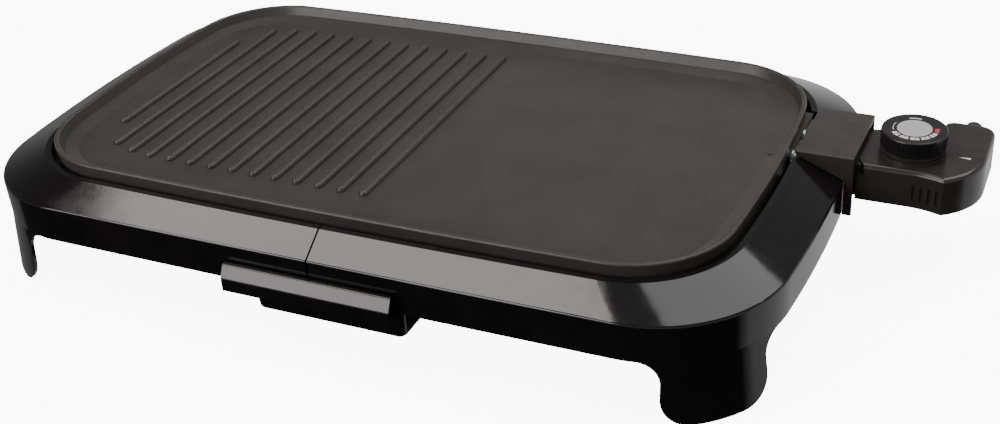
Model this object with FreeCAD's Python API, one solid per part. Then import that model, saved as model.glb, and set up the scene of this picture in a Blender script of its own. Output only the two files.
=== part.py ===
"""Electric griddle: a cast plate on a two-piece plastic base, with a drip tray and a plug-in control.

Frame: +X along the long side towards the control, +Y away from the front, +Z up.
The model is laid out about the middle of the base, with the feet at Z = 0, and moved at the end so that
the origin is on the table below the middle of the whole object, control and handle included.
All sizes are millimetres.
"""
import FreeCAD
import Part
import math
import os

from FreeCAD import Vector

# ---------------------------------------------------------------- overall sizes
PLATE_LENGTH = 480.0
PLATE_WIDTH = 277.0
PLATE_CORNER = 63.0
PLATE_END_BOW = 3.0          # how far each short side bulges past a straight one
PLATE_SIDE_BOW = 2.3

PLATE_GAP = 3.0              # between the plate's edge and the ledge
LEDGE_WIDTH = 4.0            # flat top of the base's inner wall
END_BEVEL_RUN = 28.0         # width of the bevel at the short ends
SIDE_BEVEL_RUN = 18.0        # and along the long sides
CORNER_GROWTH = 17.0         # the base's corners are rounder than the plate's
BASE_END_BOW = 3.4
BASE_SIDE_BOW = 0.5
LEG_LENGTH = 41.4            # from the table up to the bottom of the skirt
LEG_SPLAY = 4.0              # how far the feet stand out past the skirt
SKIRT_DEPTH = 24.0
BEVEL_DROP = 12.0            # from the flat ledge down to the top of the skirt
RIM_PROUD = 7.1              # the plate's rim above the ledge

# ---------------------------------------------------------------- griddle plate
FLOOR_DEPTH = 9.25           # rim top to cooking surface
FLOOR_THICK = 4.0
RIM_THICK = 3.2
GUTTER_RISE = 2.6            # height of the sloping margin where it meets the wall
GUTTER_WIDTH = 8.5
WALL_LEAN = 2.2              # how far the inner wall leans in between rim and gutter
GUTTER_STEP = 0.6            # small step between wall and gutter
RIM_ROUND = 1.2
PLATE_SKIRT = 15.5           # depth of the outer wall below the rim
PLATE_DRAFT = 2.0
PLATE_FOOT_D = 9.0
PLATE_FOOT_HEIGHT = 6.4
PLATE_FOOT_INSET = 5.2
DRAIN_D = 9.0
DRAIN_WALL = 2.0
DRAIN_INSET = 11.0           # from the plate's front edge to the drain's centre
DRAIN_DROP = 8.0

RIB_COUNT = 14
RIB_PITCH = 16.15
RIB_FIRST = 33.6             # from the plate's left edge to the first rib
RIB_RADIUS = 3.0
RIB_FRONT_GAP = 37.3         # plate's front edge to the rib tips
RIB_BACK_GAP = 29.0
RIB_FRONT_TRIM = (36.6, 8.5, 2.5)   # the ribs nearest the corner are shorter
RIB_BACK_TRIM = (33.6, 7.0, 1.5)

# ---------------------------------------------------------------- base shells
WALL = 2.6
LIP_DEPTH = 17.3             # inner wall below the ledge
SHELF_WIDTH = 9.5
SEAM_REVEAL = 0.6            # each half stops this far short of the middle
WEB_THICK = 3.0
WEB_RISE = 4.0               # web starts this far above the skirt's edge
FRONT_ARCH_INSET = 57.0      # base end to the inner edge of a leg, along X
SIDE_ARCH_INSET = 47.7       # base front to the inner edge of a leg, along Y
ARCH_CORNER = 14.0
FOOT_ROUND = 18.0
SKIRT_ROUND = 1.6

# ---------------------------------------------------------------- drip tray
TRAY_HALF = 52.0
TRAY_DEPTH = 28.5
TRAY_FRONT_GAP = 11.5        # base front to the tray's front wall
TRAY_LENGTH = 132.0
TRAY_WALL = 1.8
TRAY_DRAFT = 2.4
TRAY_CORNER = 5.0
TRAY_FOOT_ROUND = 3.0
TRAY_FLANGE = 6.0
TRAY_CLEARANCE = 1.6         # under the skirt's edge
HANDLE_HALF = 57.5
HANDLE_RISE = 16.5
HANDLE_BULGE = 7.2           # how far the handle stands out
HANDLE_TOP_RUN = 2.5         # flat strip along its upper edge
HANDLE_SLOPE_DROP = 8.2      # height of the slope that the fingers meet
HANDLE_TOP_ROUND = 1.5
HANDLE_NOSE_ROUND = 5.0
HANDLE_THICK = 2.4
HANDLE_GAP = 1.6             # between skirt and handle's upper edge
RAIL_THICK = 1.5
RAIL_LEDGE = 7.0
RAIL_CLEARANCE = 0.8
RAIL_FOOT = 8.0

# ---------------------------------------------------------------- control and socket
SOCKET_INSET = 82.2          # from the plate's back edge to the centre line of probe, hood and dial
SOCKET_DROP = 18.0           # probe axis below the rim's top
HOOD_WIDTH = 62.5
HOOD_STANDOFF = 5.5          # the hood reaches past the end of the base
HOOD_GAP = 4.0               # plate's edge to the hood's roof
HOOD_DROP = 2.5              # roof below the rim's top
HOOD_WALL = 2.6
HOOD_TAB = 41.0              # how far the outer tabs reach below the roof
HOOD_CLEARANCE = 0.3
PIN_D = 4.8
PIN_SPREAD = 34.0
PIN_REACH = 30.0             # male pin beyond the bracket
SHEATH_D = 7.0
PROBE_D = 6.0
PROBE_REACH = 65.0           # how far the probe lies under the plate
PROBE_FIT = 0.3
BRACKET_THICK = 1.5
END_BLOCK_HALF = 31.0        # cast pad that carries the bracket, either side of the probe
END_BLOCK_DEPTH = 14.0
BUSH_D = 9.0
RECEPTACLE_D = 8.0

CONTROL_GAP = 0.6            # hood's face to the nose of the control
CONTROL_HEIGHT = 25.0
CONTROL_HALF = 26.0          # half width of the nose
CONTROL_NOSE = 41.9          # nose length up to the grip
CONTROL_LENGTH = 74.9
CONTROL_CHAMFER = 5.0        # cut corners of the cavity in the nose
NOSE_CUT_ALONG = 5.4         # the upper corners of the nose are cut away
NOSE_CUT_ACROSS = 7.8
NOSE_CUT_DEPTH = 7.0
SPIGOT_REACH = 5.0           # part of the nose that enters the hood
SPIGOT_DROP = 1.0            # its top below the top of the control
SPIGOT_ROOM = 4.0            # its sides to the inside of the hood
BLOCK_DEPTH = 5.0            # receptacle block along the probe
SLEEVE_TAIL = 2.0            # receptacle sleeve past its block
GRIP_FLARE = 4.1             # grip stands out past the nose at the front
GRIP_FLARE_RUN = 21.0
GRIP_CORNER_SETBACK = 20.9   # from the end of the grip to its front corner
GRIP_REACH = 49.5            # grip behind the socket's centre line
GRIP_FRONT_ROUND = 42.0
GRIP_BACK_ROUND = 10.0
GRIP_NECK_ROUND = 7.0
GRIP_THROAT = 4.0            # concave corner between grip and nose
CONTROL_WALL = 2.4
CONTROL_ROUND = 3.0
COVER_THICK = 2.0
COVER_GAP = 0.1
CONTROL_TOP_BELOW_RIM = 8.5
VENT_COUNT = 4
VENT_PITCH = 4.9
VENT_WIDTH = 2.0
VENT_DEPTH = 1.3
VENT_START = 35.0            # nose to the first slot
VENT_LOW = 4.5               # slot's lower end above the underside
VENT_HIGH = 15.5

DIAL_D = 41.0
DIAL_HEIGHT = 10.2
DIAL_SETBACK = 29.7          # nose to the dial's centre
DIAL_GAP = 0.6
COLLAR_D = 42.0
COLLAR_NECK_D = 40.6
COLLAR_STEP = 2.8            # height of the lower of the two rings
COLLAR_HEIGHT = 5.6
COLLAR_GROOVE = 0.8
COLLAR_GROOVE_DEPTH = 1.0
DIAL_FLUTES = 48
FLUTE_RADIUS = 0.8
DISC_D = 21.8
DISC_THICK = 1.0
SPINDLE_D = 6.0
SPINDLE_FIT = 0.1
GLAND_D = 12.0
GLAND_RISE = 2.0             # above the probe's axis
GLAND_BORE = 6.5
GLAND_LENGTH = 7.0

SCREW_D = 3.0
SCREW_HEAD_D = 5.6
SCREW_HEAD = 2.0
SCREW_BITE = 8.0             # screw length in the cast plate

# ---------------------------------------------------------------- derived places
BASE_LENGTH = PLATE_LENGTH + 2 * (PLATE_GAP + LEDGE_WIDTH + END_BEVEL_RUN)
BASE_WIDTH = PLATE_WIDTH + 2 * (PLATE_GAP + LEDGE_WIDTH + SIDE_BEVEL_RUN)
BASE_CORNER = PLATE_CORNER + CORNER_GROWTH
PLATE_TOP = LEG_LENGTH + SKIRT_DEPTH + BEVEL_DROP + RIM_PROUD
SOCKET_Y = PLATE_WIDTH / 2 - SOCKET_INSET
SPIGOT_HALF = HOOD_WIDTH / 2 - HOOD_WALL - SPIGOT_ROOM
FLOOR_Z = PLATE_TOP - FLOOR_DEPTH
FLOOR_UNDER = FLOOR_Z - FLOOR_THICK
PLATE_BOTTOM = PLATE_TOP - PLATE_SKIRT
BEVEL_Z = LEG_LENGTH + SKIRT_DEPTH
LEDGE_Z = BEVEL_Z + BEVEL_DROP
SHELF_Z = LEDGE_Z - LIP_DEPTH
SHELF_TOP = SHELF_Z + WALL
PLATE_END = PLATE_LENGTH / 2
PLATE_FRONT = -PLATE_WIDTH / 2
BASE_FRONT = -BASE_WIDTH / 2
BASE_END = BASE_LENGTH / 2
AXIS_Z = PLATE_TOP - SOCKET_DROP
HOOD_TOP = PLATE_TOP - HOOD_DROP
HOOD_IN = PLATE_END + HOOD_GAP
HOOD_OUT = BASE_END + HOOD_STANDOFF
BRACKET_X = PLATE_END
NOSE_X = HOOD_OUT + CONTROL_GAP
CONTROL_TOP = PLATE_TOP - CONTROL_TOP_BELOW_RIM
CONTROL_BOTTOM = CONTROL_TOP - CONTROL_HEIGHT
SLEEVE_END = NOSE_X + CONTROL_WALL + CONTROL_CHAMFER + BLOCK_DEPTH + SLEEVE_TAIL
GRIP_X = NOSE_X + CONTROL_NOSE
CONTROL_END = NOSE_X + CONTROL_LENGTH
GRIP_CORNER_X = CONTROL_END - GRIP_CORNER_SETBACK
GRIP_CORNER_Y = SOCKET_Y - CONTROL_HALF - GRIP_FLARE
GLAND_Z = AXIS_Z + GLAND_RISE
DIAL_X = NOSE_X + DIAL_SETBACK
DIAL_BOTTOM = CONTROL_TOP + COLLAR_HEIGHT + DIAL_GAP
DIAL_TOP = DIAL_BOTTOM + DIAL_HEIGHT
PROBE_TIP = PLATE_END - PROBE_REACH
END_BLOCK_X = PLATE_END - END_BLOCK_DEPTH
TRAY_TOP = LEG_LENGTH - TRAY_CLEARANCE
TRAY_RIM_UNDER = TRAY_TOP - TRAY_WALL
TRAY_BOTTOM = TRAY_TOP - TRAY_DEPTH
TRAY_FRONT = BASE_FRONT + TRAY_FRONT_GAP


# ---------------------------------------------------------------- helpers
def box(x0, x1, y0, y1, z0, z1):
    """Block between two corners."""
    return Part.makeBox(x1 - x0, y1 - y0, z1 - z0, Vector(x0, y0, z0))


def rod(start, direction, length, diameter):
    """Round bar from a point along a direction."""
    return Part.makeCylinder(diameter / 2, length, Vector(*start), Vector(*direction))


def screw(start, direction, length, diameter=SCREW_D, head_d=SCREW_HEAD_D, head=SCREW_HEAD):
    """Pan-head screw: the point is the underside of its head, the shank runs along direction."""
    point = Vector(*start)
    along = Vector(*direction)
    shank = Part.makeCylinder(diameter / 2, length, point, along)
    cap = Part.makeCylinder(head_d / 2, head, point, along * -1)
    outer_edge = [e for e in cap.Edges if e.Curve.TypeId == "Part::GeomCircle"
                  and (e.Curve.Center - point).Length > head / 2]
    cap = cap.makeFillet(head * 0.4, outer_edge)
    slot = Part.makeBox(head_d * 2, 0.8, head, Vector(-head_d, -0.4, head * 0.55))
    slot.Placement = FreeCAD.Placement(point, FreeCAD.Rotation(Vector(0, 0, 1), along * -1))
    return shank.fuse(cap.cut(slot)).removeSplitter()


def arc(a, m, b):
    """Edge of the circle through three points."""
    return Part.Arc(Vector(*a), Vector(*m), Vector(*b)).toShape()


def line(a, b):
    """Straight edge."""
    return Part.LineSegment(Vector(*a), Vector(*b)).toShape()


def loft(low, high):
    """Solid with straight sides between two outlines."""
    return Part.makeLoft([low, high], True, True)


def prism(points, height):
    """Upright prism on a polygon given as corner points at its lower end."""
    ring = [Vector(*p) for p in points]
    return Part.Face(Part.makePolygon(ring + ring[:1])).extrude(Vector(0, 0, height))


def section_bar(corners, rounds, x0, x1):
    """Bar along X whose section is a polygon in Y and Z with some corners rounded."""
    ring = [Vector(x0, y, z) for y, z in corners]
    bar = Part.Face(Part.makePolygon(ring + ring[:1])).extrude(Vector(x1 - x0, 0, 0))
    for (y, z), radius in rounds:
        edge = [e for e in bar.Edges if e.BoundBox.XLength > abs(x1 - x0) / 2
                and abs(e.BoundBox.Center.y - y) < 0.01 and abs(e.BoundBox.Center.z - z) < 0.01]
        bar = bar.makeFillet(radius, edge)
    return bar


class Outline:
    """Rounded rectangle whose four sides bulge slightly, centred on the origin."""

    def __init__(self, length, width, corner, end_bow, side_bow):
        self.half_x = length / 2
        self.half_y = width / 2
        self.corner = corner
        self.end_r = self.bow_radius(self.half_y - corner, end_bow)
        self.side_r = self.bow_radius(self.half_x - corner, side_bow)

    @staticmethod
    def bow_radius(half_span, bow):
        return (half_span ** 2 + bow ** 2) / (2 * bow)

    def grown(self, distance):
        """The parallel outline at a distance outside (or inside, when negative)."""
        other = Outline.__new__(Outline)
        other.half_x = self.half_x + distance
        other.half_y = self.half_y + distance
        other.corner = self.corner + distance
        other.end_r = self.end_r + distance
        other.side_r = self.side_r + distance
        return other

    def corner_centre(self):
        """Centre of the corner arc that is tangent to an end arc and a side arc."""
        ex = self.half_x - self.end_r
        sy = self.half_y - self.side_r
        r1 = self.end_r - self.corner
        r2 = self.side_r - self.corner
        gap = math.hypot(ex, sy)
        along = (r1 ** 2 - r2 ** 2 + gap ** 2) / (2 * gap)
        off = math.sqrt(r1 ** 2 - along ** 2)
        ux = -ex / gap
        uy = sy / gap
        options = [(ex + along * ux - off * uy, along * uy + off * ux),
                   (ex + along * ux + off * uy, along * uy - off * ux)]
        return max(options, key=lambda p: p[0] + p[1])

    def edge_x(self, y):
        """Outer X of the right-hand end at a given Y."""
        cx, cy = self.corner_centre()
        if abs(y) <= cy:
            return self.half_x - self.end_r + math.sqrt(self.end_r ** 2 - y ** 2)
        return cx + math.sqrt(max(self.corner ** 2 - (abs(y) - cy) ** 2, 0.0))

    def wire(self, z):
        """Closed wire of eight arcs at height z."""
        cx, cy = self.corner_centre()
        ex = self.half_x - self.end_r
        sy = self.half_y - self.side_r
        a1 = math.atan2(cy, cx - ex)
        a2 = math.atan2(cy - sy, cx)
        am = (a1 + a2) / 2
        p1 = (cx + self.corner * math.cos(a1), cy + self.corner * math.sin(a1))
        pm = (cx + self.corner * math.cos(am), cy + self.corner * math.sin(am))
        p2 = (cx + self.corner * math.cos(a2), cy + self.corner * math.sin(a2))

        def at(p, sx, sgy):
            return (p[0] * sx, p[1] * sgy, z)

        edges = [arc(at(p1, 1, -1), (self.half_x, 0, z), at(p1, 1, 1)),
                 arc(at(p1, 1, 1), at(pm, 1, 1), at(p2, 1, 1)),
                 arc(at(p2, 1, 1), (0, self.half_y, z), at(p2, -1, 1)),
                 arc(at(p2, -1, 1), at(pm, -1, 1), at(p1, -1, 1)),
                 arc(at(p1, -1, 1), (-self.half_x, 0, z), at(p1, -1, -1)),
                 arc(at(p1, -1, -1), at(pm, -1, -1), at(p2, -1, -1)),
                 arc(at(p2, -1, -1), (0, -self.half_y, z), at(p2, 1, -1)),
                 arc(at(p2, 1, -1), at(pm, 1, -1), at(p1, 1, -1))]
        return Part.Wire(edges)

    def prism(self, z0, z1):
        return Part.Face(self.wire(z0)).extrude(Vector(0, 0, z1 - z0))


PLATE = Outline(PLATE_LENGTH, PLATE_WIDTH, PLATE_CORNER, PLATE_END_BOW, PLATE_SIDE_BOW)
BASE = Outline(BASE_LENGTH, BASE_WIDTH, BASE_CORNER, BASE_END_BOW, BASE_SIDE_BOW)
LEDGE_IN = PLATE.grown(PLATE_GAP)
LEDGE_OUT = PLATE.grown(PLATE_GAP + LEDGE_WIDTH)


def edges_at(shape, z, tolerance=0.01):
    """Edges that lie wholly at one height."""
    return [e for e in shape.Edges
            if abs(e.BoundBox.ZMin - z) < tolerance and abs(e.BoundBox.ZMax - z) < tolerance]


def swept(path_edges, diameter):
    """Round bar along a path of lines and tangent arcs."""
    wire = Part.Wire(path_edges)
    start = path_edges[0].valueAt(path_edges[0].FirstParameter)
    tangent = path_edges[0].tangentAt(path_edges[0].FirstParameter)
    section = Part.Wire([Part.makeCircle(diameter / 2, start, tangent)])
    return wire.makePipeShell([section], True, False)


# ---------------------------------------------------------------- base
def arch_tool(half_span, reach, along_x):
    """Solid that opens the skirt between two legs; its lower corners round the feet."""
    corner = ARCH_CORNER
    foot = FOOT_ROUND
    side = half_span
    top = LEG_LENGTH
    k = math.sqrt(0.5)
    below = -5.0
    right = [line((side - corner, 0, top), (0, 0, top)),
             arc((side, 0, top - corner), (side - corner + corner * k, 0, top - corner + corner * k),
                 (side - corner, 0, top)),
             line((side, 0, foot), (side, 0, top - corner)),
             arc((side + foot, 0, 0), (side + foot - foot * k, 0, foot - foot * k), (side, 0, foot)),
             line((side + foot, 0, below), (side + foot, 0, 0)),
             line((0, 0, below), (side + foot, 0, below))]
    mirrored = [e.mirror(Vector(0, 0, 0), Vector(1, 0, 0)) for e in right]
    outline = Part.Wire(Part.__sortEdges__(right + mirrored))
    tool = Part.Face(outline).extrude(Vector(0, 2 * reach, 0))
    tool.translate(Vector(0, -reach, 0))
    if along_x:
        tool.rotate(Vector(0, 0, 0), Vector(0, 0, 1), 90)
    return tool


def base_ring():
    """The whole base moulding before it is divided: skirt, bevel, ledge, inner wall and shelf."""
    skirt = BASE.prism(LEG_LENGTH, BEVEL_Z)
    legs = loft(BASE.grown(LEG_SPLAY).wire(0), BASE.wire(LEG_LENGTH))
    bevel = loft(BASE.wire(BEVEL_Z), LEDGE_OUT.wire(LEDGE_Z))
    outer = skirt.fuse([bevel, legs]).removeSplitter()
    outer = outer.makeFillet(SKIRT_ROUND, edges_at(outer, BEVEL_Z))
    inner_knee = BEVEL_Z - WALL / 2
    low_splay = LEG_SPLAY * (1 + 1 / LEG_LENGTH)
    hollow = BASE.grown(-WALL).prism(LEG_LENGTH, inner_knee)
    hollow = hollow.fuse(loft(BASE.grown(low_splay - WALL).wire(-1), BASE.grown(-WALL).wire(LEG_LENGTH)))
    hollow = hollow.fuse(loft(BASE.grown(-WALL).wire(inner_knee), LEDGE_OUT.wire(LEDGE_Z - WALL)))
    shell = outer.cut(hollow)
    shell = shell.cut(LEDGE_IN.prism(SHELF_Z, LEDGE_Z + 1))
    lip = LEDGE_IN.grown(WALL).prism(SHELF_Z, LEDGE_Z - WALL / 2).cut(LEDGE_IN.prism(SHELF_TOP, LEDGE_Z))
    lip = lip.cut(LEDGE_IN.grown(-SHELF_WIDTH).prism(SHELF_Z - 1, LEDGE_Z))
    shell = shell.fuse(lip)
    space = hollow.cut(LEDGE_IN.grown(WALL).prism(-2, LEDGE_Z))
    web = space.common(box(-WEB_THICK, WEB_THICK, -BASE_END, BASE_END, LEG_LENGTH + WEB_RISE, LEDGE_Z))
    shell = shell.fuse(web)
    shell = shell.cut(arch_tool(BASE_END - FRONT_ARCH_INSET, BASE_END, False))
    shell = shell.cut(arch_tool(-BASE_FRONT - SIDE_ARCH_INSET, BASE_END * 1.2, True))
    notch_half = HOOD_WIDTH / 2 - HOOD_WALL - HOOD_CLEARANCE
    notch = box(HOOD_IN - 6, BASE_END + 10, SOCKET_Y - notch_half, SOCKET_Y + notch_half,
                CONTROL_BOTTOM - 2, LEDGE_Z + 5)
    shell = shell.cut(notch)
    lip_notch = box(END_BLOCK_X - 4, HOOD_IN + 1.2, SOCKET_Y - END_BLOCK_HALF - 2,
                    SOCKET_Y + END_BLOCK_HALF + 2,
                    SHELF_Z - 1, LEDGE_Z + 5)
    return shell.cut(lip_notch), web


def web_screw_places():
    """Middle of each seam screw: two across the front web, two across the rear one."""
    front = BASE_FRONT + WALL + 6
    return [(sign * front, z) for sign in (1, -1) for z in (LEG_LENGTH + 10, LEG_LENGTH + 19)]


def rail_screw_places():
    x = TRAY_HALF + TRAY_FLANGE + RAIL_CLEARANCE + RAIL_THICK + RAIL_FOOT / 2
    y = LEDGE_IN.half_y - SHELF_WIDTH / 2
    return [(sx * x, sy * y) for sx in (1, -1) for sy in (1, -1)]


def build_base():
    ring, web = base_ring()
    hole_d = SCREW_D
    for y, z in web_screw_places():
        ring = ring.cut(rod((-WEB_THICK - 1, y, z), (1, 0, 0), 2 * WEB_THICK + 2, hole_d))
    for x, y in rail_screw_places():
        ring = ring.cut(rod((x, y, SHELF_Z - 1), (0, 0, 1), WALL + 2, hole_d))
    far = BASE_END * 1.2
    reveal = box(-SEAM_REVEAL, SEAM_REVEAL, -far, far, -1, LEDGE_Z + 1)
    reveal = reveal.cut(web.common(box(-SEAM_REVEAL, SEAM_REVEAL, -far, far, 0, LEDGE_Z)))
    ring = ring.cut(reveal)
    halves = {}
    halves["base_left"] = ring.common(box(-far, 0, -far, far, -1, LEDGE_Z + 1))
    halves["base_right"] = ring.common(box(0, far, -far, far, -1, LEDGE_Z + 1))
    screws = []
    nuts = []
    for y, z in web_screw_places():
        screws.append(screw((-WEB_THICK, y, z), (1, 0, 0), 2 * WEB_THICK + 3.5))
        nut = Part.Face(Part.makePolygon(
            [Vector(WEB_THICK, y + 3.2 * math.cos(math.radians(60 * i)),
                    z + 3.2 * math.sin(math.radians(60 * i))) for i in range(7)]))
        nut = nut.extrude(Vector(2.4, 0, 0))
        nuts.append(nut.cut(rod((WEB_THICK - 1, y, z), (1, 0, 0), 5, hole_d)))
    halves["seam_screws"] = Part.makeCompound(screws)
    halves["seam_nuts"] = Part.makeCompound(nuts)
    return halves


# ---------------------------------------------------------------- drip tray and its rails
def rounded_block(half_x, y0, y1, radius, z):
    """Wire of a rounded rectangle at one height."""
    k = radius * (1 - math.sqrt(0.5))
    x = half_x
    edges = [line((-x + radius, y0, z), (x - radius, y0, z)),
             arc((x - radius, y0, z), (x - k, y0 + k, z), (x, y0 + radius, z)),
             line((x, y0 + radius, z), (x, y1 - radius, z)),
             arc((x, y1 - radius, z), (x - k, y1 - k, z), (x - radius, y1, z)),
             line((x - radius, y1, z), (-x + radius, y1, z)),
             arc((-x + radius, y1, z), (-x + k, y1 - k, z), (-x, y1 - radius, z)),
             line((-x, y1 - radius, z), (-x, y0 + radius, z)),
             arc((-x, y0 + radius, z), (-x + k, y0 + k, z), (-x + radius, y0, z))]
    return Part.Wire(edges)


def handle_solid():
    """Long lip before the skirt: a flat strip, a slope and an upright face, closed at both ends."""
    back = BASE_FRONT - HANDLE_GAP
    nose = back - HANDLE_BULGE
    low = TRAY_RIM_UNDER
    high = low + HANDLE_RISE
    brow = back - HANDLE_TOP_RUN
    knee = high - HANDLE_SLOPE_DROP
    outer = section_bar([(back, low), (back, high), (brow, high), (nose, knee), (nose, low)],
                        [((brow, high), HANDLE_TOP_ROUND), ((nose, knee), HANDLE_NOSE_ROUND)],
                        -HANDLE_HALF, HANDLE_HALF)
    t = HANDLE_THICK
    inner = section_bar([(back + 1, low - 1), (back + 1, high - t), (brow + t / 2, high - t),
                         (nose + t, knee - t / 2), (nose + t, low - 1)], [],
                        -HANDLE_HALF + t, HANDLE_HALF - t)
    return outer.cut(inner), nose


def build_tray():
    y0 = TRAY_FRONT
    y1 = TRAY_FRONT + TRAY_LENGTH
    d = TRAY_DRAFT
    w = TRAY_WALL
    body = loft(rounded_block(TRAY_HALF, y0 + d, y1 - d, TRAY_CORNER, TRAY_BOTTOM),
                rounded_block(TRAY_HALF + d, y0, y1, TRAY_CORNER + d, TRAY_TOP))
    body = body.makeFillet(TRAY_FOOT_ROUND, edges_at(body, TRAY_BOTTOM))
    hollow = loft(rounded_block(TRAY_HALF - w, y0 + d + w, y1 - d - w, TRAY_CORNER - w, TRAY_BOTTOM + w),
                  rounded_block(TRAY_HALF + d - w, y0 + w, y1 - w, TRAY_CORNER + d - w, TRAY_TOP))
    flange = box(-TRAY_HALF - TRAY_FLANGE, TRAY_HALF + TRAY_FLANGE, y0 - 2, y1 + 3, TRAY_RIM_UNDER,
                 TRAY_TOP)
    lip, nose = handle_solid()
    tongue_half = HANDLE_HALF - HANDLE_THICK
    tongue = box(-tongue_half, tongue_half, nose, y0 + w, TRAY_RIM_UNDER, TRAY_TOP)
    tray = body.fuse([flange, lip, tongue]).cut(hollow).removeSplitter()
    return {"drip_tray": tray}


def build_rails():
    """Two bent steel strips across the base; the tray's flange slides on their ledges."""
    inner = TRAY_HALF + TRAY_DRAFT + RAIL_CLEARANCE
    web_in = TRAY_HALF + TRAY_FLANGE + RAIL_CLEARANCE
    web_out = web_in + RAIL_THICK
    foot_out = web_out + RAIL_FOOT
    end = LEDGE_IN.half_y - 1.5
    strip_end = LEDGE_IN.half_y - SHELF_WIDTH
    low = TRAY_RIM_UNDER - RAIL_THICK
    ledge = box(inner, web_out, -strip_end, strip_end, low, TRAY_RIM_UNDER)
    web = box(web_in, web_out, -strip_end, strip_end, low, TRAY_TOP + 2)
    rail = ledge.fuse(web)
    for sign in (1, -1):
        y0, y1 = sorted((sign * (strip_end - 14), sign * strip_end))
        rail = rail.fuse(box(web_in, web_out, y0, y1, low, SHELF_Z))
        y0, y1 = sorted((sign * (strip_end - 14), sign * end))
        rail = rail.fuse(box(web_in, foot_out, y0, y1, SHELF_Z - RAIL_THICK, SHELF_Z))
    rail = rail.removeSplitter()
    for x, y in rail_screw_places():
        rail = rail.cut(rod((x, y, SHELF_Z - RAIL_THICK - 1), (0, 0, 1), RAIL_THICK + 2, SCREW_D))
    other = rail.mirror(Vector(0, 0, 0), Vector(1, 0, 0))
    screws = [screw((x, y, SHELF_Z - RAIL_THICK), (0, 0, 1), RAIL_THICK + WALL)
              for x, y in rail_screw_places()]
    return {"tray_rail_right": rail, "tray_rail_left": other, "rail_screws": Part.makeCompound(screws)}


# ---------------------------------------------------------------- griddle plate
def element_path():
    """Centre line of the heating loop, from one terminal round the plate to the other."""
    z = AXIS_Z
    reach = PIN_SPREAD / 2
    top = SOCKET_Y + reach
    low = SOCKET_Y - reach
    start = BRACKET_X + BRACKET_THICK + 2
    far = -PLATE_END + 90.0
    turn = top
    bend = 40.0
    near = PLATE_END - 45.0 - bend
    k = math.sqrt(0.5)
    cross = near + bend
    return [line((start, top, z), (far, top, z)),
            arc((far, top, z), (far - turn, 0, z), (far, -turn, z)),
            line((far, -turn, z), (near, -turn, z)),
            arc((near, -turn, z), (near + bend * k, -turn + bend * (1 - k), z), (cross, -turn + bend, z)),
            line((cross, -turn + bend, z), (cross, low - bend, z)),
            arc((cross, low - bend, z), (cross + bend * (1 - k), low - bend * (1 - k), z),
                (cross + bend, low, z)),
            line((cross + bend, low, z), (start, low, z))]


def rib_spans():
    """X, front Y and back Y of the rib tips."""
    spans = []
    for i in range(RIB_COUNT):
        x = -PLATE_END + RIB_FIRST + RIB_PITCH * i
        front = PLATE_FRONT + RIB_FRONT_GAP
        back = -PLATE_FRONT - RIB_BACK_GAP
        if i < len(RIB_FRONT_TRIM):
            front += RIB_FRONT_TRIM[i]
            back -= RIB_BACK_TRIM[i]
        spans.append((x, front, back))
    return spans


def bracket_screw_places():
    """Screws through the terminal bracket into the plate's end wall."""
    return [(SOCKET_Y + dy, AXIS_Z + 6.5) for dy in (-PIN_SPREAD / 2 - 6.5, 5)]


def plate_foot_places():
    x = PLATE_END - PLATE_CORNER
    y = -PLATE_FRONT - PLATE_FOOT_INSET - PLATE_DRAFT
    return [(sx * x, sy * y) for sx in (1, -1) for sy in (1, -1)]


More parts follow.
